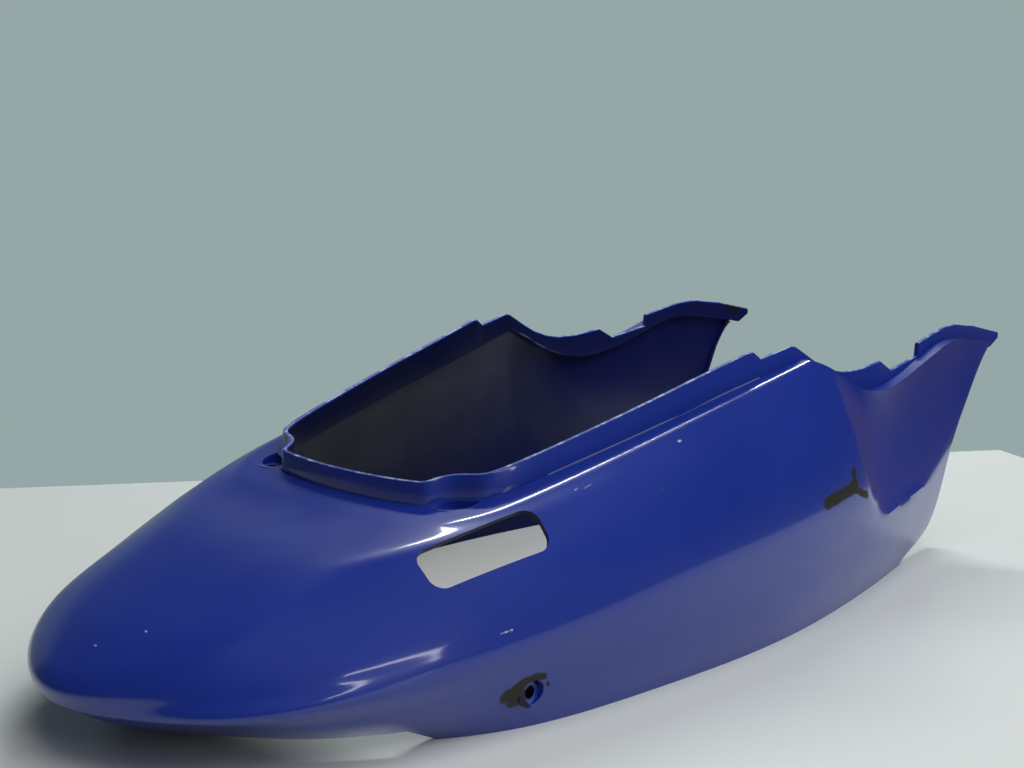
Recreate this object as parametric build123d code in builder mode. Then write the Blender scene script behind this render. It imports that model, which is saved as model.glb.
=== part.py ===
from build123d import *
import math
import os

os.makedirs("parts", exist_ok=True)

# Frame: +X forward on the vehicle, +Y its left side, +Z up, z = 0 on the surface it rests on.
# All sizes in mm.

wall = 3.0
front_x = 376.0

# Cutting shapes reach past the body: to either side, forward, up and down.
past_side = 200.0
past_front = 450.0
past_top = 300.0
past_foot = -60.0
past_skin = 20.0

# Levels of the outer skin, lowest first. Each level is a flat plan outline:
# height at x = 0, rise per mm forward, then half-outline points (x, half width), tail first.
rim_level = (-6.0, 0.0, [(-271, 0), (-263, 27), (-244, 54), (-219, 78), (-177, 111),
                         (-90, 129.5), (14, 136.3), (121, 126.5), (228, 107), (front_x, 74)])
tuck_level = (32.03, 0.0327, [(-331, 0), (-315, 35.5), (-290.5, 71), (-250.5, 101), (-185, 120),
                             (-94, 135.5), (16, 142), (124, 134.5), (234, 115), (front_x, 84)])
widest_level = (61.25, 0.0877, [(-345, 0), (-333, 41.5), (-308.5, 79), (-257.5, 108), (-187, 124.5),
                               (-94, 138), (16, 144), (126, 138.5), (236, 120), (front_x, 104)])
shoulder_level = (78.28, 0.1194, [(-347, 0), (-333, 42), (-306, 75), (-256, 105.5), (-187, 122),
                                 (-94, 136), (14, 142), (124, 138), (234, 121.5), (front_x, 112)])
crown_level = (99.24, 0.1361, [(-325, 0), (-313, 50), (-285.5, 73), (-237.5, 99.5), (-178, 117.5),
                              (-92, 130), (12, 136), (118, 136), (228, 123), (front_x, 113)])
brow_level = (119.62, 0.1558, [(-263.5, 0), (-256.5, 48), (-238, 71.7), (-204.5, 93), (-165, 108),
                              (-88, 120), (9, 127), (112, 131.5), (222, 123.5), (front_x, 114)])
deck_level = (136.94, 0.2213, [(-195, 0), (-194.5, 45), (-190, 72), (-176, 88.5), (-153, 97.5),
                               (-84, 107.5), (6, 116), (106, 124), (216, 123), (front_x, 115)])
levels = [rim_level, tuck_level, widest_level, shoulder_level, crown_level, brow_level, deck_level]
# How many steps run between one level and the next, in the skin and in the hollow under it.
skin_steps = [2, 2, 3, 3, 2, 1]
hollow_steps = [1, 1, 2, 1, 1, 1]
# The hollow starts this far under the lowest level, so that it is open below.
hollow_drop = 4.0

# Side-view lines (x, z).
valley_line = [(36, 149), (69, 151.6), (81, 147.2), (97, 139.5), (119, 130.5), (142, 126),
               (163, 126.7), (197, 133.5), (222, 140.4), (250, 146.4), (276, 145.3),
               (310, 141), (front_x + 20, 128)]
foot_line = [(-404, 10), (-226, 9.5), (-207, 0), (211, 0)]
front_edge = [(211, 0), (254, 7), (268, 13), (280, 47), (282.5, 72), (297, 98), (308, 116), (324, 133.5),
              (347, 141)]
flange_back = [(300, -50), (300, 62), (279, 73), (293.5, 98), (304.5, 116), (320, 135), (338, 143)]
lip_top = [(-204, 102.5), (-175, 109.5), (24, 159), (28, 159), (34, 155), (48, 157.5), (60, 160), (64, 159.5),
           (71, 156), (81, 150.8), (92, 145.5), (105, 141.5), (118, 139.2), (137, 139), (163, 141.3),
           (178, 134), (215.5, 139.5), (216.5, 147.8), (240, 152), (256, 154.5), (275, 155), (305, 151.5),
           (347, 143.5), (front_x + 20, 130)]
lip_end = [(347, past_side), (347, 139.5), (332, 132.8), (322, 126), (front_x + 30, 126),
           (front_x + 30, past_side)]

# Seat opening, inner face of the upstanding lip.
opening_half = [(-180.7, 0), (-179.6, 28), (-177.2, 48), (-174.2, 56), (-168.5, 59), (-162.7, 64.2),
                (-159.2, 72.5), (-155.5, 78.5), (-149, 82), (-132, 86.5), (-104, 91.5), (-61, 98),
                (3, 105.5), (59, 113), (116, 115.5), (176, 114.5), (216, 113), (276, 110), (front_x, 109)]
lip_wall = 3.0
lip_foot = 60.0
lip_block = 140.0
lip_back = -214.0
lip_valley = 41.0

opening_foot = 85.0

# Screw pockets at the two rear corners of the opening.
pocket_x = -164.0
pocket_y = 68.0
pocket_r = 11.3
pocket_floor = 96.6
pocket_depth = 12.0
pad_r = pocket_r + 2.3
pad_height = wall + 1.4
pocket_screw_x = pocket_x - 5.0
pocket_screw_y = pocket_y + 3.5
pocket_screw_r = 2.75

# Strap slots in the shoulders, each on its own slanted plane.
slot_centre = (-183.3, 103.7, 87.1)
slot_normal = (-0.2989, 0.6, 0.7421)
slot_run = (0.9527, 0.2322, 0.196)
slot_length = 65.8
slot_width = 22.9
slot_corner = 7.5
slot_depth = 12.0

# Screw holes low on the sides, with a dimple outside and a boss inside.
side_screw_x = -168.8
side_screw_z = 18.3
side_screw_r = 3.3
dimple_r = 6.5
dimple_floor = 119.9
boss_r = 7.5
boss_end = 112.0

# Scoop behind the rider's thigh: concave sections (x at z = 0, lean of the section plane,
# then upper, middle and lower points as half width and height).
scoop_sections = [(130, 22.4, [(126, 152), (141.5, 105), (142, 52)]),
                  (161, 12, [(126.5, 128), (121, 96), (132, 50)]),
                  (226, 0, [(122, 146), (114, 103), (118, 54)]),
                  (296, 0, [(116, 150), (112.3, 100), (111.5, 66)]),
                  (front_x + 10, 0, [(112, 150), (112.5, 110), (109, 76)])]

scoop_out = 190.0

# Gap left between the return flanges of the wings, seen from the front (half width, z).
mouth_back = 265.0
mouth = [(0, 55), (103, 55), (105, 72), (107, 98), (108, 116), (108, 130), (107, 136),
         (107, past_top), (0, past_top)]


def eased(marks, values, at):
    """Smooth run through the values that never overshoots them."""
    slopes = []
    gaps = [b - a for a, b in zip(marks, marks[1:])]
    rises = [(b - a) / g for a, b, g in zip(values, values[1:], gaps)]
    for i in range(len(values)):
        if i == 0 or i == len(values) - 1:
            slopes.append(rises[0] if i == 0 else rises[-1])
        elif rises[i - 1] * rises[i] <= 0:
            slopes.append(0.0)
        else:
            w1, w2 = 2 * gaps[i] + gaps[i - 1], gaps[i] + 2 * gaps[i - 1]
            slopes.append((w1 + w2) / (w1 / rises[i - 1] + w2 / rises[i]))
    i = max(j for j in range(len(gaps)) if marks[j] <= at + 1e-9)
    g = gaps[i]
    t = (at - marks[i]) / g
    return ((2 * t ** 3 - 3 * t ** 2 + 1) * values[i] + (t ** 3 - 2 * t ** 2 + t) * g * slopes[i]
            + (3 * t ** 2 - 2 * t ** 3) * values[i + 1] + (t ** 3 - t ** 2) * g * slopes[i + 1])


def stepped_levels(steps):
    """The driving levels with fair steps between them: height, rise and half outline each."""
    marks = [0.0]
    for low, high in zip(levels, levels[1:]):
        spans = [math.dist((a[0], a[1], low[0] + low[1] * a[0]), (b[0], b[1], high[0] + high[1] * b[0]))
                 for a, b in zip(low[2], high[2])]
        marks.append(marks[-1] + sum(spans) / len(spans))
    stops = []
    for i, count in enumerate(steps):
        stops += [marks[i] + (marks[i + 1] - marks[i]) * k / count for k in range(count)]
    stops.append(marks[-1])
    fine = []
    for at in stops:
        height = eased(marks, [level[0] for level in levels], at)
        rise = eased(marks, [level[1] for level in levels], at)
        half = [(eased(marks, [level[2][k][0] for level in levels], at),
                 eased(marks, [level[2][k][1] for level in levels], at))
                for k in range(len(deck_level[2]))]
        fine.append((height, rise, half))
    return fine


def unit(v):
    size = math.sqrt(sum(c * c for c in v))
    return [c / size for c in v]


def inset_levels(fine, inset):
    """The same levels moved in by a wall thickness, square to the skin."""
    if inset == 0:
        return fine
    grid = [[(x, y, h + r * x) for x, y in half] for h, r, half in fine]
    moved = []
    for j, (height, rise, half) in enumerate(fine):
        normals = []
        for k in range(len(half)):
            up, down = grid[min(j + 1, len(grid) - 1)][k], grid[max(j - 1, 0)][k]
            nxt = grid[j][min(k + 1, len(half) - 1)]
            prv = grid[j][k - 1] if k > 0 else (grid[j][1][0], -grid[j][1][1], grid[j][1][2])
            a = [p - q for p, q in zip(up, down)]
            b = [p - q for p, q in zip(nxt, prv)]
            normal = unit([b[1] * a[2] - b[2] * a[1], b[2] * a[0] - b[0] * a[2], b[0] * a[1] - b[1] * a[0]])
            if normal[1] < 0 or (k == 0 and normal[0] > 0):
                normal = [-c for c in normal]
            normals.append(normal)
        drop = inset * normals[0][2]
        if j == len(fine) - 1:
            drop = inset
        if j == 0:
            drop = hollow_drop
        half_in = []
        for (x, y), (nx, ny, nz) in zip(half, normals):
            flat = math.hypot(nx, ny)
            shift = (inset - (nz * drop if j > 0 else 0)) / flat
            half_in.append((x - shift * nx / flat, max(y - shift * ny / flat, 0.0)))
        moved.append((height - drop, rise, half_in))
    return moved


def level_plane(height, rise):
    tilt = math.atan(rise)
    return Plane(origin=(0, 0, height), x_dir=(math.cos(tilt), 0, math.sin(tilt)),
                 z_dir=(-math.sin(tilt), 0, math.cos(tilt)))


def level_points(rise, half):
    stretch = math.sqrt(1 + rise * rise)
    left = [(x * stretch, y) for x, y in half]
    right = [(x * stretch, -y) for x, y in half[1:]]
    return right[::-1] + left


# Every outline runs at the same pace as the widest one, so that the skin between them stays fair.
pace_points = level_points(widest_level[1], widest_level[2])
pace = [0.0]
for before, after in zip(pace_points, pace_points[1:]):
    pace.append(pace[-1] + math.dist(before, after))
pace = [mark / pace[-1] for mark in pace]


def shifted(line, amount):
    """A side-view line moved square to itself, to its right-hand side."""
    out = []
    for i, (x, z) in enumerate(line):
        (x0, z0), (x1, z1) = line[max(i - 1, 0)], line[min(i + 1, len(line) - 1)]
        size = math.hypot(x1 - x0, z1 - z0)
        out.append((x + amount * (z1 - z0) / size, z - amount * (x1 - x0) / size))
    return out


def build_body(inset, steps):
    """The closed form under the skin: whole for the outside, moved in by the wall for the hollow."""
    with BuildPart() as body:
        for height, rise, half in inset_levels(stepped_levels(steps), inset):
            with BuildSketch(level_plane(height, rise)):
                points = level_points(rise, half)
                with BuildLine():
                    add(Edge.make_spline([Vector(*point) for point in points], parameters=pace))
                    Line(points[-1], points[0])
                make_face()
        loft(ruled=True)
        # valley and wing top
        with BuildSketch(Plane.XZ):
            line = shifted(valley_line, inset)
            with BuildLine():
                Spline(*line)
                Polyline(line[-1], (line[-1][0], past_top), (line[0][0], past_top), line[0])
            make_face()
        extrude(amount=past_side, both=True, mode=Mode.SUBTRACT)
        # front edge
        with BuildSketch(Plane.XZ):
            line = front_edge if inset == 0 else flange_back
            with BuildLine():
                if inset == 0:
                    Spline(*line)
                else:
                    Polyline(*line)
                Polyline(line[-1], (line[-1][0], past_top), (past_front, past_top), (past_front, past_foot),
                         (line[0][0], past_foot), line[0])
            make_face()
        extrude(amount=past_side, both=True, mode=Mode.SUBTRACT)
        # scoops
        for side in (-1, 1):
            for station, lean, arc in scoop_sections:
                slant = math.radians(lean)
                plane = Plane(origin=(station, 0, 0), x_dir=(0, 1, 0),
                              z_dir=(math.cos(slant), 0, math.sin(slant)))
                with BuildSketch(plane):
                    pts = [(side * (y - inset), z / math.cos(slant)) for y, z in arc]
                    with BuildLine():
                        ThreePointArc(*pts)
                        Polyline(pts[-1], (side * scoop_out, pts[-1][1] - past_skin),
                                 (side * scoop_out, scoop_out), (pts[0][0], scoop_out), pts[0])
                    make_face()
            loft(mode=Mode.SUBTRACT)
    return body


outer = build_body(0, skin_steps)
cavity = build_body(wall, hollow_steps)


def opening_outline(out):
    """The seat opening's outline in plan, moved outwards by a given amount."""
    half = shifted(opening_half, -out)
    half[0] = (opening_half[0][0] - out, 0)
    half[-1] = (front_x, half[-1][1])
    points = [(x, -y) for x, y in half[:0:-1]] + half
    Spline(*points)
    Line(points[-1], points[0])


# The lip starts as a block over the opening, from inside the deck up to the stepped top line.
with BuildPart() as lip:
    with BuildSketch(Plane.XY.offset(lip_foot)):
        with BuildLine():
            opening_outline(lip_wall)
        make_face()
    extrude(amount=lip_block)
    with BuildSketch(Plane.XZ):
        under = shifted(valley_line, wall / 2)
        deck_low = deck_level[0] - wall / 2
        with BuildLine():
            lip_start = (lip_back, deck_low + lip_back * deck_level[1])
            Polyline(lip_start, (lip_valley, deck_low + lip_valley * deck_level[1]), under[1])
            Spline(*under[1:])
            Polyline(under[-1], *reversed(lip_top), lip_start)
        make_face()
    extrude(amount=past_side, both=True, mode=Mode.INTERSECT)
    with BuildSketch(Plane.XZ):
        with BuildLine():
            Polyline(*lip_end, lip_end[0])
        make_face()
    extrude(amount=past_side, both=True, mode=Mode.SUBTRACT)

with BuildPart() as tail_fairing:
    add(outer.part)
    add(cavity.part, mode=Mode.SUBTRACT)
    # the front is closed only by a narrow return flange
    with BuildSketch(Plane.YZ.offset(mouth_back)):
        with BuildLine():
            Polyline(*mouth, mouth[0])
        make_face()
        mirror(about=Plane.YZ)
    extrude(amount=past_side, mode=Mode.SUBTRACT)
    # pads under the screw pockets
    with BuildSketch(Plane.XY.offset(pocket_floor - wall)):
        with Locations((pocket_x, pocket_y), (pocket_x, -pocket_y)):
            Circle(pad_r)
    extrude(amount=pad_height)
    add(lip.part)
    # screw pockets, outside the lip only
    with BuildSketch(Plane.XY.offset(pocket_floor)):
        with Locations((pocket_x, pocket_y), (pocket_x, -pocket_y)):
            Circle(pocket_r)
        with BuildLine():
            opening_outline(lip_wall)
        make_face(mode=Mode.SUBTRACT)
    extrude(amount=pocket_depth, mode=Mode.SUBTRACT)
    with BuildSketch(Plane.XY.offset(pocket_floor - past_skin)):
        with Locations((pocket_screw_x, pocket_screw_y), (pocket_screw_x, -pocket_screw_y)):
            Circle(pocket_screw_r)
    extrude(amount=2 * past_skin, mode=Mode.SUBTRACT)
    # seat opening
    with BuildSketch(Plane.XY.offset(opening_foot)):
        with BuildLine():
            opening_outline(0)
        make_face()
    extrude(amount=past_side, mode=Mode.SUBTRACT)
    # strap slots and low side screws, one of each on either side
    for side in (-1, 1):
        slot_plane = Plane(origin=(slot_centre[0], side * slot_centre[1], slot_centre[2]),
                           x_dir=(slot_run[0], side * slot_run[1], slot_run[2]),
                           z_dir=(slot_normal[0], side * slot_normal[1], slot_normal[2]))
        with BuildSketch(slot_plane):
            RectangleRounded(slot_length, slot_width, slot_corner)
        extrude(amount=slot_depth, both=True, mode=Mode.SUBTRACT)
        side_plane = Plane(origin=(side_screw_x, 0, side_screw_z), x_dir=(1, 0, 0), z_dir=(0, side, 0))
        with BuildSketch(side_plane.offset(boss_end)):
            Circle(boss_r)
        extrude(amount=dimple_floor - boss_end)
        with BuildSketch(side_plane.offset(dimple_floor)):
            Circle(dimple_r)
        extrude(amount=past_skin, mode=Mode.SUBTRACT)
        with BuildSketch(side_plane.offset(boss_end - past_skin)):
            Circle(side_screw_r)
        extrude(amount=2 * past_skin, mode=Mode.SUBTRACT)
    # foot line, raised under the tail
    with BuildSketch(Plane.XZ):
        with BuildLine():
            Polyline(*foot_line, (past_front, 0), (past_front, past_foot),
                     (foot_line[0][0], past_foot), foot_line[0])
        make_face()
    extrude(amount=past_side, both=True, mode=Mode.SUBTRACT)

tail_fairing.part.label = "tail_fairing"
export_step(tail_fairing.part, "parts/tail_fairing.step")
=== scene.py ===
import math

import bmesh
import bpy
import numpy as np
from mathutils import Matrix, Vector


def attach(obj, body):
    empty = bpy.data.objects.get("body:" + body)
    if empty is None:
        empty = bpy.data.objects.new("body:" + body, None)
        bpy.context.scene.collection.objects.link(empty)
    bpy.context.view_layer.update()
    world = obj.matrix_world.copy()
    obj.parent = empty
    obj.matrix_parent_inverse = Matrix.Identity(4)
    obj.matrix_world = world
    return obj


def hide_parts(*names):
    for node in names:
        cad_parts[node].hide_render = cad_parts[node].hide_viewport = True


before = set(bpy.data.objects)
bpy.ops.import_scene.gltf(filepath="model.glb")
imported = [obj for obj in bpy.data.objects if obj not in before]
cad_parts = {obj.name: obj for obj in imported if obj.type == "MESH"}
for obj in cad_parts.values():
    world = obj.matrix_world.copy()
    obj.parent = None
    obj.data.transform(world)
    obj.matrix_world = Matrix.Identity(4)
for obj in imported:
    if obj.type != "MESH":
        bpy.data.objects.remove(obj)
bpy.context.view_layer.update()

# Sizes in mm; the meshes are scaled to metres when they are made.
MM = 0.001
WALL = 3.0
FRONT_X = 376.0

# Seven tilted levels of the skin: height at x = 0, rise along x, half outline (x, half width).
LEVELS = [
    (-6.0, 0.0, [(-271, 0), (-263, 27), (-244, 54), (-219, 78), (-177, 111),
                 (-90, 129.5), (14, 136.3), (121, 126.5), (228, 107), (FRONT_X, 74)]),
    (32.03, 0.0327, [(-331, 0), (-315, 35.5), (-290.5, 71), (-250.5, 101), (-185, 120),
                     (-94, 135.5), (16, 142), (124, 134.5), (234, 115), (FRONT_X, 84)]),
    (61.25, 0.0877, [(-345, 0), (-333, 41.5), (-308.5, 79), (-257.5, 108), (-187, 124.5),
                     (-94, 138), (16, 144), (126, 138.5), (236, 120), (FRONT_X, 104)]),
    (78.28, 0.1194, [(-347, 0), (-333, 42), (-306, 75), (-256, 105.5), (-187, 122),
                     (-94, 136), (14, 142), (124, 138), (234, 121.5), (FRONT_X, 112)]),
    (99.24, 0.1361, [(-325, 0), (-313, 50), (-285.5, 73), (-237.5, 99.5), (-178, 117.5),
                     (-92, 130), (12, 136), (118, 136), (228, 123), (FRONT_X, 113)]),
    (119.62, 0.1558, [(-263.5, 0), (-256.5, 48), (-238, 71.7), (-204.5, 93), (-165, 108),
                      (-88, 120), (9, 127), (112, 131.5), (222, 123.5), (FRONT_X, 114)]),
    (136.94, 0.2213, [(-195, 0), (-194.5, 45), (-190, 72), (-176, 88.5), (-153, 97.5),
                      (-84, 107.5), (6, 116), (106, 124), (216, 123), (FRONT_X, 115)]),
]
WIDEST = 2  # the level whose outline sets the pace of the columns

# Side-view lines (x, z).
VALLEY = [(36, 149), (69, 151.6), (81, 147.2), (97, 139.5), (119, 130.5), (142, 126), (163, 126.7),
          (197, 133.5), (222, 140.4), (250, 146.4), (276, 145.3), (310, 141), (FRONT_X + 20, 128)]
FOOT = [(-404, 10), (-226, 9.5), (-207, 0), (211, 0)]
FRONT_EDGE = [(211, 0), (254, 7), (268, 13), (280, 47), (282.5, 72), (297, 98), (308, 116),
              (324, 133.5), (347, 141)]
FLANGE_BACK = [(300, -50), (300, 62), (279, 73), (293.5, 98), (304.5, 116), (320, 135), (338, 143)]
LIP_TOP = [(-204, 102.5), (-175, 109.5), (24, 159), (28, 159), (34, 155), (48, 157.5), (60, 160),
           (64, 159.5), (71, 156), (81, 150.8), (92, 145.5), (105, 141.5), (118, 139.2), (137, 139),
           (163, 141.3), (178, 134), (215.5, 139.5), (216.5, 147.8), (240, 152), (256, 154.5),
           (275, 155), (305, 151.5), (347, 143.5), (FRONT_X + 20, 130)]
LIP_STEPS = [24, 28, 34, 60, 64, 71, 178, 215.5, 216.5, 275]  # x of the lip's own steps
LIP_END = [(347, 200), (347, 139.5), (332, 132.8), (322, 126), (FRONT_X + 30, 126), (FRONT_X + 30, 200)]
FRONT_BELOW = (205.0, -6.5)  # carries the front edge on below the table
FRONT_ABOVE = (347.0, 300.0)  # and above the lip
OPENING = [(-180.7, 0), (-179.6, 28), (-177.2, 48), (-174.2, 56), (-168.5, 59), (-162.7, 64.2),
           (-159.2, 72.5), (-155.5, 78.5), (-149, 82), (-132, 86.5), (-104, 91.5), (-61, 98),
           (3, 105.5), (59, 113), (116, 115.5), (176, 114.5), (216, 113), (276, 110), (FRONT_X, 109)]
MOUTH_BACK = 265.0
MOUTH_AHEAD = 500
MOUTH = [(0, 55), (103, 55), (105, 72), (107, 98), (108, 116), (108, 130), (107, 136), (107, 300), (0, 300)]

# Scoop sections: x at z = 0, lean, and upper, middle and lower points (half width, height).
SCOOPS = [(130, 22.4, [(126, 152), (141.5, 105), (142, 52)]),
          (161, 12, [(126.5, 128), (123, 98), (132, 50)]),
          (226, 0, [(122, 146), (115.4, 103), (118, 54)]),
          (296, 0, [(116, 150), (112.3, 100), (111.5, 66)]),
          (FRONT_X + 10, 0, [(112, 150), (112.5, 110), (109, 76)])]
SCOOP_FOOT_SLOPE = 20.0
SCOOP_OUT = 190.0
SCOOP_FROM_X = 60  # no scoop behind this
SCOOP_BACK_SLOPE = 0.42
CREST_BLEND = 1.2

POCKET = (-164.0, 68.0)
POCKET_R = 11.3
POCKET_FLOOR = 96.6
POCKET_WALL = 2.3  # of the cup under the pocket
POCKET_RIM = 1.4  # height of that cup above the pocket's floor
POCKET_CUT = 12
POCKET_SCREW = (-169.0, 71.5)
POCKET_SCREW_R = 2.75
SLOT_CENTRE = (-183.3, 103.7, 87.1)
SLOT_NORMAL = (-0.2989, 0.6, 0.7421)
SLOT_RUN = (0.9527, 0.2322, 0.196)
SLOT_SIZE = (65.8, 22.9, 7.5)
SLOT_REACH = 12
SIDE_SCREW = (-168.8, 18.3)
SIDE_SCREW_R = 3.3
DIMPLE_R = 6.5
DIMPLE_FLOOR = 119.9
BOSS_R = 7.5
BOSS_END = 112.0

# Rounding of the edges.
DECK_ROUND = 4.0
EDGE_ROUND = 5.0
LIP_ROUND = 1.1
LIP_ROUND_MIDDLE = 0.29 * LIP_ROUND  # what the middle of the rounding takes off both sides

# The hollow, the seat well and the lip's foot.
HOLLOW_BELOW = 4.0  # how far the hollow reaches below the lowest level
WELL_GROWTH = 0.6
WELL_FROM_Z = 85
WELL_TO_Z = 285
WELL_VALLEY_X = 86  # ahead of this the well follows the deck and the valley
WELL_UNDER = 1  # and ends this far under their wall
WELL_PAST_FRONT = 15
LIP_SINK = 0.2  # the lip's foot lies this much deeper than the deck's wall

# Where cutters end, well clear of the part.
CLEAR_TOP = 300
CLEAR_BELOW = -60
CLEAR_FRONT = 450
CLEAR_BACK = -300
CLEAR_SIDE = 200
CUT_PAST = 10  # how far the cutter of a hole reaches past its faces
SIDE_CUT = (5, 25)  # the same behind and ahead of the end of the side screw's boss
LIP_CLEAR = (60, 200)  # heights between which the lip is kept out of the pockets

# How finely the shapes are made.
TRIAL_MARKS = 700
BODY_COLUMNS = 96
WING_COLUMNS = 118
WING_SHARE = 0.60  # share of an outline's half at which the closer columns of the wing begin
EDGE_GAPS = np.array([0.012, 0.0085, 0.006, 0.0042, 0.0028, 0.0017, 0.0008, 0.0])
SKIN_ROWS = 84
DECK_STEPS = (0.15, 0.3, 0.45, 0.6, 0.75, 0.9, 1.0)
HOLLOW_ROWS = (2, 3, 4, 4, 3, 2)  # between one level and the next
HOLLOW_COLUMNS = 361
FRONT_POINTS = 400
FRONT_NEAR = (40, 200)  # places further off in x or z lie outside the rounding of the front edge
VALLEY_POINTS = 240
OPENING_POINTS = 900
WELL_COLUMNS = 160
ROUND_SIDES = 72
SCREW_SIDES = 40
BOSS_SIDES = 48
CORNER_SIDES = 12
SECTION_ROUNDS = 40  # rounds in which the leaning section through a place is found
SMOOTH_ANGLE = 32
MERGE_DISTANCE = 0.00002  # metres

PAINT, BARE, RIM = 0, 1, 2
RIM_UPWARD = 0.55  # the upward part of the normal of the worn rim's faces
RIM_FROM_Z = 90


def chord_marks(points):
    """Running length along the points, from 0."""
    steps = np.linalg.norm(np.diff(np.asarray(points, float), axis=0), axis=1)
    return np.concatenate([[0.0], np.cumsum(steps)])


class Curve:
    """Cubic through the points, its end slopes taken from the first and last four."""

    def __init__(self, points, marks=None):
        self.p = np.asarray(points, float)
        self.t = chord_marks(self.p) if marks is None else np.asarray(marks, float)
        n = len(self.t)
        h = np.diff(self.t)[:, None]
        rise = np.diff(self.p, axis=0) / h
        left = np.zeros((n, n))
        right = np.zeros_like(self.p)
        left[0, 0] = left[-1, -1] = 1
        right[0] = np.polyfit(self.t[:4] - self.t[0], self.p[:4], 3)[-2]
        right[-1] = np.polyfit(self.t[-4:] - self.t[-1], self.p[-4:], 3)[-2]
        for i in range(1, n - 1):
            left[i, i - 1:i + 2] = h[i, 0], 2 * (h[i, 0] + h[i - 1, 0]), h[i - 1, 0]
            right[i] = 3 * (h[i] * rise[i - 1] + h[i - 1] * rise[i])
        self.m = np.linalg.solve(left, right)

    def at(self, marks):
        marks = np.asarray(marks, float)
        i = np.clip(np.searchsorted(self.t, marks, side="right") - 1, 0, len(self.t) - 2)
        h = (self.t[i + 1] - self.t[i])[:, None]
        s = (marks - self.t[i])[:, None] / h
        return ((2 * s ** 3 - 3 * s ** 2 + 1) * self.p[i] + (s ** 3 - 2 * s ** 2 + s) * h * self.m[i]
                + (3 * s ** 2 - 2 * s ** 3) * self.p[i + 1] + (s ** 3 - s ** 2) * h * self.m[i + 1])

    def dense(self, count):
        return self.at(np.linspace(self.t[0], self.t[-1], count))


def eased(marks, values, at):
    """Smooth run through the values that never overshoots them."""
    marks, values, at = np.asarray(marks, float), np.asarray(values, float), np.asarray(at, float)
    gaps = np.diff(marks, axis=0)
    flat = values.reshape(len(values), -1)
    gap_col = gaps[:, None]
    rises = np.diff(flat, axis=0) / gap_col
    slopes = np.zeros_like(flat)
    slopes[0], slopes[-1] = rises[0], rises[-1]
    for i in range(1, len(flat) - 1):
        w1, w2 = 2 * gaps[i] + gaps[i - 1], gaps[i] + 2 * gaps[i - 1]
        same = rises[i - 1] * rises[i] > 0
        a, b = np.where(same, rises[i - 1], 1), np.where(same, rises[i], 1)
        slopes[i] = np.where(same, (w1 + w2) / (w1 / a + w2 / b), 0)
    i = np.clip(np.searchsorted(marks, at, side="right") - 1, 0, len(gaps) - 1)
    g = gap_col[i]
    t = (at - marks[i])[:, None] / g
    out = ((2 * t ** 3 - 3 * t ** 2 + 1) * flat[i] + (t ** 3 - 2 * t ** 2 + t) * g * slopes[i]
           + (3 * t ** 2 - 2 * t ** 3) * flat[i + 1] + (t ** 3 - t ** 2) * g * slopes[i + 1])
    return out.reshape((len(at),) + values.shape[1:])


def shifted(line, amount):
    """A side-view line moved square to itself, to its right-hand side."""
    line = np.asarray(line, float)
    run = np.empty_like(line)
    run[1:-1] = line[2:] - line[:-2]
    run[0], run[-1] = line[1] - line[0], line[-1] - line[-2]
    run /= np.linalg.norm(run, axis=1)[:, None]
    return line + amount * np.stack([run[:, 1], -run[:, 0]], axis=1)


heights = np.array([level[0] for level in LEVELS], float)
rises = np.array([level[1] for level in LEVELS], float)
halves = np.array([level[2] for level in LEVELS], float)
full_z = heights[:, None] + rises[:, None] * halves[:, :, 0]
nodes_3d = np.dstack([halves, full_z])
level_marks = np.concatenate([[0.0], np.cumsum(
    np.linalg.norm(np.diff(nodes_3d, axis=0), axis=2).mean(axis=1))])
stretch = math.sqrt(1 + rises[WIDEST] ** 2)
widest = halves[WIDEST] * [stretch, 1]
pace = chord_marks(np.vstack([(widest * [1, -1])[:0:-1], widest]))
pace /= pace[-1]
outline_basis = Curve(np.eye(len(pace)), pace)


def outline(half, marks):
    """Points of one level's outline: half is its (x, half width) list, marks run 0 to 1."""
    points = np.vstack([(half * [1, -1])[:0:-1], half])
    return outline_basis.at(marks) @ points


scoop_marks = np.array([scoop[0] for scoop in SCOOPS], float)
scoop_shapes = np.array([[math.tan(math.radians(lean)), *np.ravel(arc)] for _, lean, arc in SCOOPS])


def scoop_width(x, z):
    """Half width left by the scoop at the places (x, z)."""
    # which leaning section passes through the place
    station = np.array(x, float)
    for _ in range(SECTION_ROUNDS):
        lean = np.interp(station, scoop_marks, scoop_shapes[:, 0])
        station = 0.5 * station + 0.5 * (x + z * lean)
    at = np.clip(station, scoop_marks[0], scoop_marks[-1])
    shape = eased(scoop_marks, scoop_shapes, at)
    lean = np.interp(at, scoop_marks, scoop_shapes[:, 0])
    tall = np.sqrt(1 + lean ** 2)
    y1, z1, y2, z2, y3, z3 = shape[:, 1:].T
    z1, z2, z3, q = z1 * tall, z2 * tall, z3 * tall, z * tall
    spread = 2 * ((y1 - y3) * (z2 - z3) - (y2 - y3) * (z1 - z3))
    a, b = y1 ** 2 + z1 ** 2 - y3 ** 2 - z3 ** 2, y2 ** 2 + z2 ** 2 - y3 ** 2 - z3 ** 2
    cy = (a * (z2 - z3) - b * (z1 - z3)) / spread
    cz = (b * (y1 - y3) - a * (y2 - y3)) / spread
    radius = np.hypot(y1 - cy, z1 - cz)
    side = np.where(y2 > cy, 1, -1)
    inside = cy + side * np.sqrt(np.maximum(radius ** 2 - (np.clip(q, z3, z1) - cz) ** 2, 0))
    foot = np.maximum(z3 - q, 0) * (SCOOP_OUT - y3) / SCOOP_FOOT_SLOPE
    width = np.minimum(inside + foot, SCOOP_OUT)
    # behind the first section the surface carries on outwards, clear of the skin
    return width + np.maximum(scoop_marks[0] - station, 0) * SCOOP_BACK_SLOPE


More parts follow.
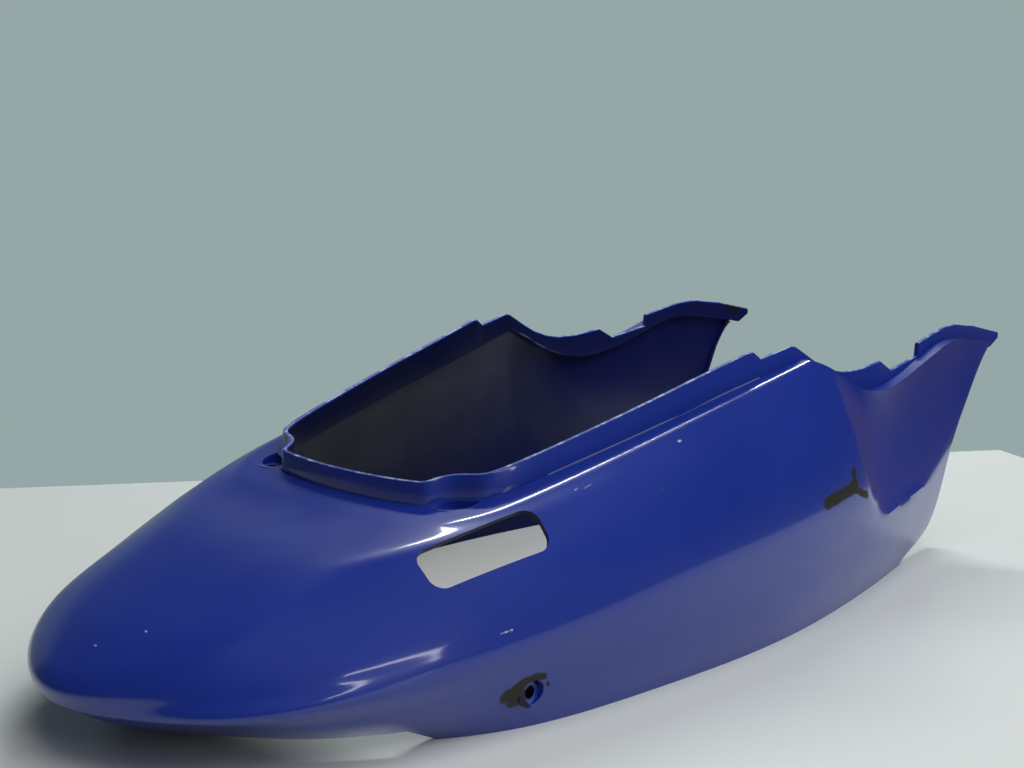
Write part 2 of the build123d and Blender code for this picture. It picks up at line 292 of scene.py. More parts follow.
def blended_min(a, b, blend):
    """The lesser of a and b, rounded where they meet."""
    h = np.clip(0.5 + 0.5 * (b - a) / blend, 0, 1)
    return b * (1 - h) + a * h - blend * h * (1 - h)


front_line = np.vstack([[FRONT_BELOW], Curve(FRONT_EDGE).dense(FRONT_POINTS), [FRONT_ABOVE]])


def front_distance(x, z):
    """Distance in side view from the wing's front edge."""
    starts = front_line[:-1]
    out = np.full(x.shape, 1e9)
    for (ax, az), (dx, dz) in zip(starts, front_line[1:] - starts):
        near = (np.abs(x - ax) < FRONT_NEAR[0]) & (np.abs(z - az) < FRONT_NEAR[1])
        if not near.any():
            continue
        t = np.clip(((x[near] - ax) * dx + (z[near] - az) * dz) / (dx * dx + dz * dz), 0, 1)
        out[near] = np.minimum(out[near], np.hypot(x[near] - ax - t * dx, z[near] - az - t * dz))
    return out


def trimmed(y, x, z):
    """Half width after the scoop and the rounding of the front edge."""
    y = blended_min(y, scoop_width(x, z), CREST_BLEND)
    inside = np.clip(EDGE_ROUND - front_distance(x, z), 0, EDGE_ROUND)
    return y - (EDGE_ROUND - np.sqrt(EDGE_ROUND ** 2 - inside ** 2))


def tube(loops, name, material, materials):
    """Closed mesh from closed loops of equal length, capped at both ends."""
    count = loops.shape[1]
    verts = loops.reshape(-1, 3) * MM
    faces = []
    for j in range(len(loops) - 1):
        a, b = j * count, (j + 1) * count
        for i in range(count):
            k = (i + 1) % count
            faces.append((a + i, a + k, b + k, b + i))
    top = (len(loops) - 1) * count
    faces.append(tuple(range(count))[::-1])
    faces.append(tuple(range(top, top + count)))
    return closed_object(name, verts, faces, material, materials)


def closed_object(name, verts, faces, material, materials):
    """Object from a closed mesh, its faces turned outwards and all of one material."""
    mesh = bpy.data.meshes.new(name)
    mesh.from_pydata([tuple(v) for v in verts], [], faces)
    work = bmesh.new()
    work.from_mesh(mesh)
    bmesh.ops.recalc_face_normals(work, faces=work.faces[:])
    if work.calc_volume(signed=True) < 0:
        bmesh.ops.reverse_faces(work, faces=work.faces[:])
    for face in work.faces:
        face.material_index = material
    work.to_mesh(mesh)
    work.free()
    for entry in materials:
        mesh.materials.append(entry)
    thing = bpy.data.objects.new(name, mesh)
    bpy.context.scene.collection.objects.link(thing)
    return thing


def prism(outline_2d, axis, low, high, material, materials):
    """Closed prism: the outline lies in the other two axes, in X, Y, Z order."""
    others = [k for k in range(3) if k != axis]
    loops = np.empty((2, len(outline_2d), 3))
    loops[:, :, others] = outline_2d
    loops[:, :, axis] = [[low], [high]]
    return tube(loops, "cutter", material, materials)


def rod(centre, axis, radius, low, high, material, materials, sides=ROUND_SIDES):
    """Round prism; the centre lies in the other two axes."""
    turn = np.linspace(0, 2 * math.pi, sides, endpoint=False)
    ring = np.stack([centre[0] + radius * np.cos(turn), centre[1] + radius * np.sin(turn)], axis=1)
    return prism(ring, axis, low, high, material, materials)


def combine(target, tool, operation):
    """Boolean of target and tool; the tool is used up."""
    modifier = target.modifiers.new("step", "BOOLEAN")
    modifier.solver = "MANIFOLD"
    modifier.operation = operation
    modifier.object = tool
    graph = bpy.context.evaluated_depsgraph_get()
    fresh = bpy.data.meshes.new_from_object(target.evaluated_get(graph))
    target.modifiers.remove(modifier)
    old = target.data
    target.data = fresh
    bpy.data.meshes.remove(old)
    used = tool.data
    bpy.data.objects.remove(tool)
    bpy.data.meshes.remove(used)


def skin_columns(half, height, rise):
    """Marks along one outline from the tail to the front edge, closer together near the front."""
    marks = np.linspace(0.5, 1.0, TRIAL_MARKS)
    points = outline(half, marks)
    z = height + rise * points[:, 0]
    over = points[:, 0] - np.interp(z, front_line[:, 1], front_line[:, 0])
    last = np.nonzero(over < 0)[0].max()
    share = over[last] / (over[last] - over[last + 1])
    end = marks[last] + share * (marks[last + 1] - marks[last])
    body = np.linspace(0, WING_SHARE, BODY_COLUMNS, endpoint=False)
    wing = np.linspace(WING_SHARE, 1 - EDGE_GAPS[0], WING_COLUMNS, endpoint=False)
    return 0.5 + (end - 0.5) * np.concatenate([body, wing, 1 - EDGE_GAPS])


def levels_at(stops):
    """Height, rise and half outline of the levels that lie at the stops between the given ones."""
    return [eased(level_marks, values, stops) for values in (heights, rises, halves)]


def outer_loops():
    """Loops of the skin's outside, from the lowest level to the rounded edge of the deck."""
    stops = np.concatenate([np.linspace(0, level_marks[-1] - DECK_ROUND, SKIN_ROWS), [level_marks[-1]]])
    rows = []
    for height, rise, half in zip(*levels_at(stops)):
        points = outline(half, skin_columns(half, height, rise))
        rows.append(np.column_stack([points, height + rise * points[:, 0]]))
    below, corner = rows[-2], rows[-1]
    run = np.gradient(corner[:, :2], axis=0)
    run[0] = (0, 1)
    run /= np.linalg.norm(run, axis=1)[:, None]
    inward = corner.copy()
    inward[:, 0] += DECK_ROUND * run[:, 1]
    inward[:, 1] -= DECK_ROUND * run[:, 0]
    inward[-1, 0] = corner[-1, 0]
    inward[0, 1] = 0
    inward[:, 2] = heights[-1] + rises[-1] * inward[:, 0]
    rows = rows[:-1]
    for t in DECK_STEPS:
        rows.append((1 - t) ** 2 * below + 2 * t * (1 - t) * corner + t * t * inward)
    rows = np.array(rows)
    rows[:, :, 1] = np.maximum(rows[:, :, 1], 0)
    flat = rows.reshape(-1, 3)
    wing = flat[:, 0] > SCOOP_FROM_X
    flat[wing, 1] = trimmed(flat[wing, 1], flat[wing, 0], flat[wing, 2])
    rows = flat.reshape(rows.shape)
    right = rows[:, :0:-1] * [1, -1, 1]
    return np.concatenate([right, rows], axis=1)


def hollow_loops():
    """Loops of the skin's inside: the outside moved in by the wall, square to the surface."""
    stops = []
    for i, count in enumerate(HOLLOW_ROWS):
        gap = level_marks[i + 1] - level_marks[i]
        stops += [level_marks[i] + gap * k / count for k in range(count)]
    stops.append(level_marks[-1])
    fine_h, fine_r, fine_half = levels_at(stops)
    grid = np.dstack([fine_half, fine_h[:, None] + fine_r[:, None] * fine_half[:, :, 0]])
    marks = np.linspace(0, 1, HOLLOW_COLUMNS)
    last = len(grid) - 1
    rows = []
    for j in range(len(grid)):
        up, down = grid[min(j + 1, last)], grid[max(j - 1, 0)]
        ahead = np.vstack([grid[j][1:], grid[j][-1:]])
        behind = np.vstack([grid[j][1:2] * [1, -1, 1], grid[j][:-1]])
        normal = np.cross(ahead - behind, up - down)
        normal /= np.linalg.norm(normal, axis=1)[:, None]
        flip = (normal[:, 1] < 0) | ((np.arange(len(normal)) == 0) & (normal[:, 0] > 0))
        normal[flip] *= -1
        drop = WALL if j == last else HOLLOW_BELOW if j == 0 else WALL * normal[0, 2]
        level_part = np.hypot(normal[:, 0], normal[:, 1])
        shift = (WALL - (normal[:, 2] * drop if j > 0 else 0)) / level_part
        half = fine_half[j].copy()
        half[:, 0] -= shift * normal[:, 0] / level_part
        half[:, 1] = np.maximum(half[:, 1] - shift * normal[:, 1] / level_part, 0)
        points = outline(half, marks)
        rows.append(np.column_stack([points, fine_h[j] - drop + fine_r[j] * points[:, 0]]))
    rows = np.array(rows)
    flat = rows.reshape(-1, 3)
    wing = flat[:, 0] > SCOOP_FROM_X
    limit = scoop_width(flat[wing, 0], flat[wing, 2]) - WALL
    width = blended_min(np.abs(flat[wing, 1]), limit, CREST_BLEND)
    flat[wing, 1] = np.sign(flat[wing, 1]) * width
    return flat.reshape(rows.shape)


opening_points = np.array(OPENING, float)
opening_curve = Curve(np.vstack([(opening_points * [1, -1])[:0:-1], opening_points]))
opening_fine = opening_curve.dense(OPENING_POINTS)


def opening_at(out):
    """Outline of the seat well's opening, moved outwards."""
    return shifted(opening_fine, -out)


valley_fine = Curve(VALLEY).dense(VALLEY_POINTS)


def under_deck(x, depth):
    """Height of the deck or valley surface at x, less a depth."""
    deck = heights[-1] + rises[-1] * x - depth
    low = shifted(valley_fine, depth)
    # behind its first point there is no valley, so the deck is always the lower there
    valley = np.interp(x, low[:, 0], low[:, 1], left=CLEAR_TOP)
    return np.minimum(deck, valley)


def lip_ribbon(materials):
    """The upstanding lip round the opening, with a rounded top edge."""
    marks = np.linspace(opening_curve.t[0], opening_curve.t[-1], OPENING_POINTS)
    middle = OPENING_POINTS // 2
    # more stations where the top steps
    extra = []
    for x in LIP_STEPS:
        for side in (slice(0, middle), slice(middle, OPENING_POINTS)):
            part = opening_fine[side]
            order = np.argsort(part[:, 0])
            extra.append(np.interp(x, part[order, 0], marks[side][order]))
    marks = np.unique(np.concatenate([marks, extra]))
    line = opening_curve.at(marks)
    run = np.gradient(line, marks, axis=0)
    run /= np.linalg.norm(run, axis=1)[:, None]
    outward = np.column_stack([run[:, 1], -run[:, 0]])
    tops = np.array(LIP_TOP, float)
    top = np.interp(line[:, 0], tops[:, 0], tops[:, 1])
    foot = under_deck(line[:, 0], WALL + LIP_SINK)
    # distance outwards, and drop from the top; None is the foot
    profile = [(0, None), (0, LIP_ROUND), (LIP_ROUND_MIDDLE, LIP_ROUND_MIDDLE), (LIP_ROUND, 0),
               (WALL - LIP_ROUND, 0), (WALL - LIP_ROUND_MIDDLE, LIP_ROUND_MIDDLE), (WALL, LIP_ROUND),
               (WALL, None)]
    inner_side = 6
    loops = []
    for out, drop in profile:
        z = foot if drop is None else top - drop
        loops.append(np.column_stack([line + outward * out, np.maximum(z, foot)]))
    ribbon = tube(np.array(loops).transpose(1, 0, 2), "lip", PAINT, materials)
    for face in ribbon.data.polygons:
        if len(face.vertices) != 4:
            continue
        if face.index % len(profile) == inner_side:
            face.material_index = BARE
        if abs(face.normal.z) > RIM_UPWARD and face.center.z > RIM_FROM_Z * MM:
            face.material_index = RIM
    return ribbon


def build_shell(materials):
    shell = tube(outer_loops(), "fairing_shell", PAINT, materials)

    def side_prism(line, material=PAINT):
        return prism(line, 1, -CLEAR_SIDE, CLEAR_SIDE, material, materials)

    def upright(centre, side, radius, low, high, material=PAINT, sides=ROUND_SIDES):
        return rod((centre[0], side * centre[1]), 2, radius, low, high, material, materials, sides)

    def above(line):
        """Side-view outline of all that lies above the line."""
        return [*line, (line[-1][0], CLEAR_TOP), (line[0][0], CLEAR_TOP)]

    # the hollow, with the valley's wall and the return flanges left standing
    cavity = tube(hollow_loops(), "cavity", BARE, materials)
    combine(cavity, side_prism(above(shifted(valley_fine, WALL)), BARE), "DIFFERENCE")
    ahead = [(FLANGE_BACK[-1][0], CLEAR_TOP), (CLEAR_FRONT, CLEAR_TOP), (CLEAR_FRONT, CLEAR_BELOW),
             (FLANGE_BACK[0][0], CLEAR_BELOW)]
    combine(cavity, side_prism(FLANGE_BACK + ahead, BARE), "DIFFERENCE")
    combine(shell, side_prism(above(valley_fine)), "DIFFERENCE")
    combine(shell, cavity, "DIFFERENCE")
    gap = MOUTH[1:-1] + [(-y, z) for y, z in MOUTH[-2:0:-1]]
    combine(shell, prism(gap, 0, MOUTH_BACK, MOUTH_AHEAD, BARE, materials), "DIFFERENCE")
    for side in (-1, 1):
        cup = upright(POCKET, side, POCKET_R + POCKET_WALL, POCKET_FLOOR - WALL, POCKET_FLOOR + POCKET_RIM)
        combine(shell, cup, "UNION")

    # the seat well: cut deep at the back, and ahead of that only down to the valley's own wall
    well = prism(opening_at(WELL_GROWTH), 2, WELL_FROM_Z, WELL_TO_Z, BARE, materials)
    reach = np.linspace(WELL_VALLEY_X, FRONT_X + WELL_PAST_FRONT, WELL_COLUMNS)
    under = np.column_stack([reach, under_deck(reach, WALL + WELL_UNDER)])
    behind = [(CLEAR_BACK, WELL_FROM_Z), (WELL_VALLEY_X, WELL_FROM_Z)]
    deck = [*behind, *under, (reach[-1], CLEAR_TOP), (CLEAR_BACK, CLEAR_TOP)]
    combine(well, side_prism(deck, BARE), "INTERSECT")
    combine(shell, well, "DIFFERENCE")
    ribbon = lip_ribbon(materials)
    combine(ribbon, side_prism(LIP_END), "DIFFERENCE")
    combine(shell, ribbon, "UNION")

    for side in (-1, 1):
        bowl = upright(POCKET, side, POCKET_R, POCKET_FLOOR, POCKET_FLOOR + POCKET_CUT)
        combine(bowl, prism(opening_at(WALL), 2, *LIP_CLEAR, PAINT, materials), "DIFFERENCE")
        combine(shell, bowl, "DIFFERENCE")
        hole = upright(POCKET_SCREW, side, POCKET_SCREW_R, POCKET_FLOOR - CUT_PAST, POCKET_FLOOR + CUT_PAST,
                       BARE, SCREW_SIDES)
        combine(shell, hole, "DIFFERENCE")
        combine(shell, slot_block(side, materials), "DIFFERENCE")
        for radius, near, far, operation, material in (
                (BOSS_R, BOSS_END, DIMPLE_FLOOR, "UNION", BARE),
                (DIMPLE_R, DIMPLE_FLOOR, DIMPLE_FLOOR + CUT_PAST, "DIFFERENCE", PAINT),
                (SIDE_SCREW_R, BOSS_END - SIDE_CUT[0], BOSS_END + SIDE_CUT[1], "DIFFERENCE", BARE)):
            ends = sorted((side * near, side * far))
            combine(shell, rod(SIDE_SCREW, 1, radius, *ends, material, materials, BOSS_SIDES), operation)
    below = [(CLEAR_FRONT, 0), (CLEAR_FRONT, CLEAR_BELOW), (FOOT[0][0], CLEAR_BELOW)]
    combine(shell, side_prism(FOOT + below), "DIFFERENCE")
    return shell


def slot_block(side, materials):
    """Cutter for a strap slot: a rounded rectangle pushed along its own normal."""
    length, width, corner = SLOT_SIZE
    ring = []
    for cx, cy, start in ((1, 1, 0), (-1, 1, 90), (-1, -1, 180), (1, -1, 270)):
        for k in range(CORNER_SIDES + 1):
            turn = math.radians(start + 90 / CORNER_SIDES * k)
            ring.append((cx * (length / 2 - corner) + corner * math.cos(turn),
                         cy * (width / 2 - corner) + corner * math.sin(turn)))
    flip = Vector((1, side, 1))
    normal = (Vector(SLOT_NORMAL) * flip).normalized()
    run = Vector(SLOT_RUN) * flip
    run = (run - run.dot(normal) * normal).normalized()
    across = normal.cross(run)
    centre = Vector(SLOT_CENTRE) * flip
    loops = [[centre + run * a + across * b + normal * depth for a, b in ring]
             for depth in (-SLOT_REACH, SLOT_REACH)]
    return tube(np.array(loops), "cutter", BARE, materials)


def smooth_by_angle(thing):
    """Smooth shading, with the edges sharper than the angle left hard."""
    work = bmesh.new()
    work.from_mesh(thing.data)
    bmesh.ops.remove_doubles(work, verts=work.verts[:], dist=MERGE_DISTANCE)
    bmesh.ops.dissolve_degenerate(work, dist=MERGE_DISTANCE, edges=work.edges[:])
    limit = math.radians(SMOOTH_ANGLE)
    for face in work.faces:
        face.smooth = True
    for edge in work.edges:
        edge.smooth = len(edge.link_faces) != 2 or edge.calc_face_angle(0) < limit
    work.to_mesh(thing.data)
    work.free()


# Camera: where the photograph was taken from, in metres, and the way it looked.
CAMERA_PLACE = (-0.64491, -0.54442, 0.26709)
CAMERA_RIGHT = (0.67803788, -0.73495633, 0.01018981)
CAMERA_UP = (0.11012846, 0.11528677, 0.98720853)
CAMERA_FOCAL_PX = 1430.16
PHOTO_WIDTH_PX = 1024
SENSOR_MM = 36.0

# Table top, in metres. It ends behind the part, where the photograph's table ends.
TABLE_CORNERS = [(-0.94, -2.55), (0.62, 0.003), (-2.1, 1.8893), (-3.7, -0.7)]
TABLE_COLOUR = (0.66, 0.70, 0.69)
TABLE_ROUGHNESS = 0.3

# Lamps: places and sizes in metres, power in watts.
STRIP_PLACE = (1.10, 0.75, 1.6)
STRIP_TURN = math.radians(-60.9)
STRIP_SIZE = (1.3, 0.18)
STRIP_POWER = 27
STRIP_COLOUR = (0.96, 1, 1)
SOFT_PLACE = (0.1, -1.15, 2.0)
SOFT_SIZE = (2.6, 2.6)
SOFT_POWER = 58
SOFT_COLOUR = (1, 0.99, 0.97)
SIDE_ENDS = Vector((-0.73, -1.78, 1.03)), Vector((0.256, -2.04, 0.31))
SIDE_WIDTH = 0.07
SIDE_POWER = 3.4
SIDE_AIM = Vector((-0.25, -0.1, 0.05))

# The room that the paint mirrors: direction, outer and inner angle in degrees, and colour.
ROOM_DARK = (0.028, 0.03, 0.036)
ROOM = [((1, 0, -0.12), 24, 12, (0.10, 0.066, 0.06)),
        ((0.95, 0.31, 0.1), 9, 6, (0.24, 0.17, 0.13)),
        ((0.47, 0.88, 0.1), 42, 36, (0.20, 0.25, 0.255)),
        ((0, 0, 1), 70, 61, ROOM_DARK)]
BACKDROP = (0.30, 0.385, 0.385)

STROKE_EDGE = (1.15, 0.75)  # a stroke fades in between these shares of its half width


class Tree:
    """The nodes of one material, or of the world, with short ways to add to them."""

    def __init__(self, owner):
        owner.use_nodes = True
        self.nodes = owner.node_tree.nodes
        self.links = owner.node_tree.links

    def feed(self, socket, value):
        """Sets a value on the socket, or links another node's output to it."""
        if isinstance(value, bpy.types.NodeSocket):
            self.links.new(value, socket)
        else:
            socket.default_value = value

    def add(self, kind, *values):
        """New node, its first inputs fed with the values."""
        node = self.nodes.new("ShaderNode" + kind)
        for socket, value in zip(node.inputs, values):
            self.feed(socket, value)
        return node

    def object_place(self):
        return self.add("TexCoord").outputs["Object"]

    def number(self, operation, *values, clamp=False):
        node = self.add("Math", *values)
        node.operation = operation
        node.use_clamp = clamp
        return node.outputs[0]

    def vector(self, operation, *values):
        node = self.add("VectorMath", *values)
        node.operation = operation
        return node

    def noise(self, place, scale, detail, roughness=0.55):
        node = self.add("TexNoise", place)
        node.inputs["Scale"].default_value = scale
        node.inputs["Detail"].default_value = detail
        node.inputs["Roughness"].default_value = roughness
        return node

    def ranged(self, value, low, high, to_low=0.0, to_high=1.0, smooth=True):
        """The value's run from low to high, spread over to_low to to_high and held beyond them."""
        node = self.add("MapRange", value, low, high, to_low, to_high)
        node.interpolation_type = "SMOOTHSTEP" if smooth else "LINEAR"
        node.clamp = True
        return node.outputs["Result"]

    def mixed(self, amount, below, above):
        """Colour below where the amount is 0, above where it is 1."""
        node = self.add("Mix")
        node.data_type = "RGBA"
        self.feed(node.inputs[0], amount)
        for socket, colour in ((node.inputs[6], below), (node.inputs[7], above)):
            self.feed(socket, (*colour, 1) if isinstance(colour, tuple) else colour)
        return node.outputs[2]

    def strokes(self, place, marks):
        """1 on the strokes. Each is (start, end, half width) in mm."""
        total = None
        for start, end, half in marks:
            start = Vector(start) * MM
            run = Vector(end) * MM - start
            from_start = self.vector("SUBTRACT", place, tuple(start)).outputs[0]
            along = self.vector("DOT_PRODUCT", from_start, tuple(run / run.length_squared))
            share = self.number("ADD", along.outputs["Value"], 0.0, clamp=True)
            reach = self.vector("SCALE", tuple(run))
            self.feed(reach.inputs["Scale"], share)
            away = self.vector("DISTANCE", from_start, reach.outputs[0]).outputs["Value"]
            mask = self.ranged(away, half * MM * STROKE_EDGE[0], half * MM * STROKE_EDGE[1])
            total = mask if total is None else self.number("MAXIMUM", total, mask)
        return total


def new_material(name):
    material = bpy.data.materials.new(name)
    tree = Tree(material)
    return material, tree, tree.nodes["Principled BSDF"].inputs


def make_camera():
    data = bpy.data.cameras.new("camera")
    camera = bpy.data.objects.new("camera", data)
    bpy.context.scene.collection.objects.link(camera)
    right = Vector(CAMERA_RIGHT).normalized()
    back = right.cross(Vector(CAMERA_UP)).normalized()
    turn = Matrix((right, back.cross(right), back)).transposed().to_4x4()
    camera.matrix_world = Matrix.Translation(CAMERA_PLACE) @ turn
    data.sensor_width = SENSOR_MM
    data.lens = SENSOR_MM * CAMERA_FOCAL_PX / PHOTO_WIDTH_PX
    data.clip_start = 0.01
    data.clip_end = 50
    bpy.context.scene.camera = camera


def make_floor():
    mesh = bpy.data.meshes.new("floor")
    mesh.from_pydata([(x, y, 0) for x, y in TABLE_CORNERS], [], [(0, 1, 2, 3)])
    floor = bpy.data.objects.new("floor", mesh)
    bpy.context.scene.collection.objects.link(floor)
    material, _, inputs = new_material("pale_floor")
    inputs["Base Color"].default_value = (*TABLE_COLOUR, 1)
    inputs["Roughness"].default_value = TABLE_ROUGHNESS
    floor.data.materials.append(material)


def area_lamp(name, place, size, watts, colour=(1, 1, 1)):
    data = bpy.data.lights.new(name, "AREA")
    data.shape = "RECTANGLE"
    data.size, data.size_y = size
    data.energy = watts
    data.color = colour
    lamp = bpy.data.objects.new(name, data)
    lamp.location = place
    bpy.context.scene.collection.objects.link(lamp)
    return lamp


def make_lamps():
    # a narrow lamp that makes the bright line on the deck's edge
    strip = area_lamp("strip", STRIP_PLACE, STRIP_SIZE, STRIP_POWER, STRIP_COLOUR)
    strip.rotation_euler = (0, 0, STRIP_TURN)
    # a large soft one that the paint doesn't mirror, aimed at the origin
    soft = area_lamp("front", SOFT_PLACE, SOFT_SIZE, SOFT_POWER, SOFT_COLOUR)
    soft.rotation_euler = soft.location.to_track_quat("Z", "Y").to_euler()
    soft.visible_glossy = False
    # a long thin one that makes the streak low on the tail
    first, second = SIDE_ENDS
    side = area_lamp("side_strip", (first + second) / 2, ((second - first).length, SIDE_WIDTH), SIDE_POWER)
    along = (second - first).normalized()
    facing = (side.location - SIDE_AIM).normalized()
    facing = (facing - facing.dot(along) * along).normalized()
    side.rotation_euler = Matrix((along, facing.cross(along), facing)).transposed().to_euler()


def make_room():
    world = bpy.data.worlds.new("studio")
    bpy.context.scene.world = world
    tree = Tree(world)
    way = tree.add("TexCoord").outputs["Generated"]
    room = ROOM_DARK
    for direction, outer, inner, colour in ROOM:
        centre = tuple(Vector(direction).normalized())
        towards = tree.vector("DOT_PRODUCT", way, centre).outputs["Value"]
        lobe = tree.ranged(towards, math.cos(math.radians(outer)), math.cos(math.radians(inner)))
        room = tree.mixed(lobe, room, colour)
    shown = tree.mixed(tree.add("LightPath").outputs["Is Camera Ray"], room, BACKDROP)
    background = tree.nodes["Background"]
    tree.links.new(shown, background.inputs["Color"])
    background.inputs["Strength"].default_value = 1.0


# Marks in the paint: start, end and half width, in mm.
CHIPS = [
    # three-armed chip behind the near wing
    ((88, -139.8, 87), (88.5, -139.9, 78), 3.0),
    ((88, -139.9, 77), (56, -140.9, 73.5), 4.6),
    ((88, -139.9, 77), (105, -139.7, 69.5), 3.0),
    ((89.5, -139.9, 78), (84, -139.9, 77), 4.9),
    # round the side screw
    ((-183, -119, 19.5), (-177.5, -120.5, 21.5), 4.4),
    ((-178.5, -119.5, 16.5), (-175, -119.5, 17.5), 4.6),
    ((-177.5, -121, 23.5), (-169, -122.5, 26), 3.4),
    ((-169, -122.5, 26.5), (-163.5, -123.4, 26), 2.2),
    ((-160.6, -122.9, 22.5), (-159.6, -123, 20.5), 1.3),
    # far wing, its tip and its side
    ((318, 108.6, 149), (334, 109, 147), 4.0),
    ((101.3, 133.8, 96), (104.3, 134.5, 89.7), 1.3),
    # small ones on the near side
    ((-58.0, -133.0, 69.0), (-57.4, -133.0, 68.4), 0.5),
    ((240, -119.5, 63), (241, -119.3, 60), 1.3),
]
SCRATCHES = [
    ((-142.6, -99.7, 104.0), (-133.7, -107.8, 102.9), 0.45),
    ((-119.5, -109.7, 105.8), (-114.5, -110, 107), 0.6),
    ((-123, -115.3, 97.9), (-117.8, -114.2, 100.8), 0.6),
    ((-124.4, -108.1, 105.4), (-122.6, -107.9, 106), 0.7),
    ((-50.8, -116.1, 120.9), (-49.2, -116.2, 121.2), 0.9),
    ((-246.7, -72.2, 78.5), (-244.2, -80, 75.9), 0.35),
    ((-191.3, -121.6, 52.7), (-184.8, -122.9, 53.3), 0.5),
    ((-145.2, -85.6, 115.5), (-142.4, -86.3, 109.7), 0.45),
    ((-146.6, -108.4, 98.9), (-142.1, -111.4, 98.1), 0.3),
    ((-312.3, -23.6, 59.8), (-312.5, -24.7, 59.6), 0.8),
    ((-249.4, -87.3, 68.7), (-249.2, -87.5, 68.5), 0.6),
    ((-257.7, -78.9, 69.7), (-257.6, -79.5, 69.3), 0.5),
    ((-45.6, -126.6, 96.3), (-43, -126.7, 95.3), 0.4),
    ((52, -137.6, 45), (52.7, -137.8, 44.3), 0.6),
    ((-49.0, -131.4, 84.0), (-48.6, -131.4, 83.6), 0.8),
    ((-327.2, -6.6, 53.4), (-327.4, -7.7, 53.3), 0.6),
    ((215.7, -115, 146), (216.2, -115, 140), 0.9),
    ((-124.4, -126.7, 65.5), (-97.6, -128.4, 69.3), 0.15),
    ((-65.2, -136.1, 48.4), (-3.1, -137.6, 51.7), 0.15),
]
# Painted highlight: a light line along the foot of the lip, fainter than a scratch, standing in for the
# glint of a small rounding there that the shape doesn't have.
FOOT_HIGHLIGHT = [
    ((-122, -88.8, 109.9), (-104, -91.6, 113.9), 0.45),
    ((-104, -91.6, 113.9), (-61, -98.2, 123.4), 0.5),
    ((-61, -98.2, 123.4), (-29, -102.3, 130.5), 0.5),
    ((-29, -102.3, 130.5), (3, -105.7, 137.6), 0.5),
    ((3, -105.7, 137.6), (33, -109.6, 144.2), 0.5),
]
# how strongly the painted highlight shows
FOOT_HIGHLIGHT_STRENGTH = 0.4
FAR_TIP_CHIP = [((319, 106, 148), (333, 106, 146), 4.5)]
TEAL_MARKS = [
    ((-76.7, -124.4, 101.2), (-69.6, -126.2, 98), 1.2),
    ((-51.4, -127.7, 97.9), (-47.9, -129, 96), 1.5),
]

# Colours of the paint, the plastic and the worn rim; the pairs are the ends of a soft variation.
PAINT_BLUES = (0.0095, 0.0265, 0.24), (0.011, 0.0305, 0.27)
# pale colour of the scratch marks, used for the painted highlight along the lip's foot too
SCRATCH_AND_HIGHLIGHT_COLOUR = (0.42, 0.47, 0.55)
TEAL = (0.008, 0.07, 0.16)
CHIP_COLOUR = (0.013, 0.012, 0.007)
# Painted shade and sheen on the unpainted inside: near black towards the tail, deep in the hollow, and
# bluer towards the wings.
INSIDE_SHADED_BLUES = (0.0018, 0.0034, 0.024), (0.0035, 0.006, 0.06)
INSIDE_SHADE_RUN = (-0.06, 0.2)  # metres along x, from the darker to the bluer
BARE_SPOT_COLOUR = (0.008, 0.0075, 0.003)
RIM_BLUES = (0.02, 0.045, 0.27), (0.24, 0.31, 0.50)
RAGGED_BY = 0.003  # metres by which the noise pushes the edges of the chips
COAT = 0.7
COAT_ROUGHNESS = 0.085
PAINT_ROUGHNESS = (0.30, 0.37)
CHIP_ROUGHNESS = 0.55
INSIDE_ROUGHNESS = (0.32, 0.5)
RIM_ROUGHNESS = 0.5
PAINT_SPECULAR, INSIDE_SPECULAR, RIM_SPECULAR = 0.38, 0.27, 0.3

# Noises: scale and detail.
RAGGED_NOISE = (260, 2)
BROKEN_NOISE = (900, 2)
CLOUD_NOISE = (9, 3)
HAZE_NOISE = (24, 1)
INSIDE_NOISE = (30, 2)
RIM_NOISE = (110, 4, 0.7)  # and roughness


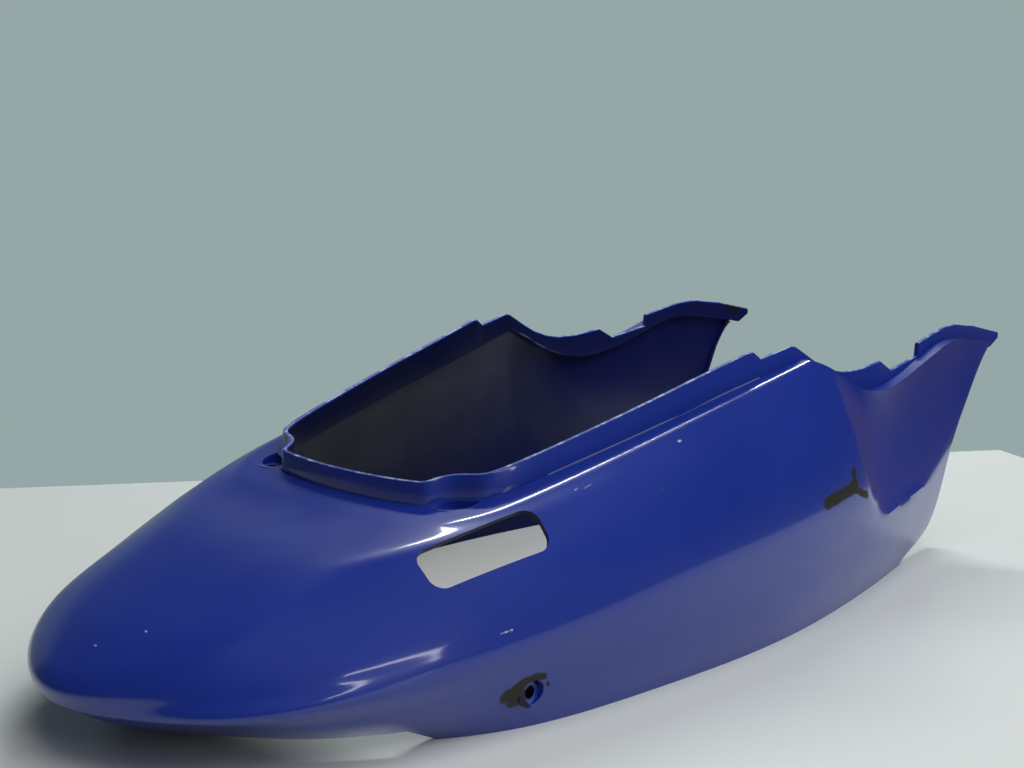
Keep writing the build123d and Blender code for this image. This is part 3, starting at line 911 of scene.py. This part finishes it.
def paint_material():
    """Gloss blue under a clear coat that the chips, the scratch marks and a painted highlight line along
    the lip's foot break.
    """
    material, tree, inputs = new_material("blue_gloss_paint")
    place = tree.object_place()
    wander = tree.noise(place, *RAGGED_NOISE).outputs["Color"]
    offset = tree.vector("SUBTRACT", wander, (0.5, 0.5, 0.5)).outputs[0]
    ragged = tree.vector("MULTIPLY_ADD", offset, (RAGGED_BY,) * 3, place).outputs[0]
    chips = tree.strokes(ragged, CHIPS)
    scratches_and_highlight = tree.strokes(place, SCRATCHES)
    broken = tree.noise(place, *BROKEN_NOISE).outputs["Fac"]
    scratches_and_highlight = tree.number("MULTIPLY", scratches_and_highlight, tree.ranged(broken, 0.38, 0.6, 0.25, 1.0))
    # the painted highlight along the lip's foot is joined to the scratch marks and gets their pale colour
    foot_highlight = tree.number("MULTIPLY", tree.strokes(place, FOOT_HIGHLIGHT), FOOT_HIGHLIGHT_STRENGTH)
    scratches_and_highlight = tree.number("MAXIMUM", scratches_and_highlight, foot_highlight)
    cloud = tree.noise(place, *CLOUD_NOISE).outputs["Fac"]
    colour = tree.mixed(tree.ranged(cloud, 0.3, 0.7), *PAINT_BLUES)
    colour = tree.mixed(scratches_and_highlight, colour, SCRATCH_AND_HIGHLIGHT_COLOUR)
    colour = tree.mixed(tree.strokes(ragged, TEAL_MARKS), colour, TEAL)
    colour = tree.mixed(chips, colour, CHIP_COLOUR)
    tree.feed(inputs["Base Color"], colour)
    haze = tree.noise(place, *HAZE_NOISE).outputs["Fac"]
    roughness = tree.ranged(haze, 0.25, 0.75, *PAINT_ROUGHNESS)
    chip_roughness = tree.number("MULTIPLY", chips, CHIP_ROUGHNESS)
    tree.feed(inputs["Roughness"], tree.number("MAXIMUM", roughness, chip_roughness))
    # chips, scratch marks and the painted highlight line all thin the clear coat
    wear_and_highlight = tree.number("MAXIMUM", chips, scratches_and_highlight)
    tree.feed(inputs["Coat Weight"], tree.number("MULTIPLY_ADD", wear_and_highlight, -COAT, COAT))
    inputs["Coat Roughness"].default_value = COAT_ROUGHNESS
    inputs["Specular IOR Level"].default_value = PAINT_SPECULAR
    return material


def bare_material():
    """Unpainted inside, with painted shade near black at the tail and painted sheen bluer towards the
    wings.
    """
    material, tree, inputs = new_material("black_plastic")
    place = tree.object_place()
    x = tree.add("SeparateXYZ", place).outputs["X"]
    # painted shade and sheen: the colour runs along x
    colour = tree.mixed(tree.ranged(x, *INSIDE_SHADE_RUN), *INSIDE_SHADED_BLUES)
    colour = tree.mixed(tree.strokes(place, FAR_TIP_CHIP), colour, BARE_SPOT_COLOUR)
    tree.feed(inputs["Base Color"], colour)
    fine = tree.noise(place, *INSIDE_NOISE).outputs["Fac"]
    tree.feed(inputs["Roughness"], tree.ranged(fine, 0.3, 0.75, *INSIDE_ROUGHNESS, smooth=False))
    inputs["Specular IOR Level"].default_value = INSIDE_SPECULAR
    return material


def rim_material():
    """The lip's top edge, where the paint is rubbed pale in places."""
    material, tree, inputs = new_material("worn_rim_paint")
    rubbed = tree.noise(tree.object_place(), *RIM_NOISE).outputs["Fac"]
    tree.feed(inputs["Base Color"], tree.mixed(tree.ranged(rubbed, 0.46, 0.6), *RIM_BLUES))
    inputs["Roughness"].default_value = RIM_ROUGHNESS
    inputs["Specular IOR Level"].default_value = RIM_SPECULAR
    return material


shell = build_shell([paint_material(), bare_material(), rim_material()])
smooth_by_angle(shell)
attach(shell, "root")
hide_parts("tail_fairing")

make_camera()
make_floor()
make_lamps()
make_room()
bpy.context.scene.view_settings.view_transform = "Standard"
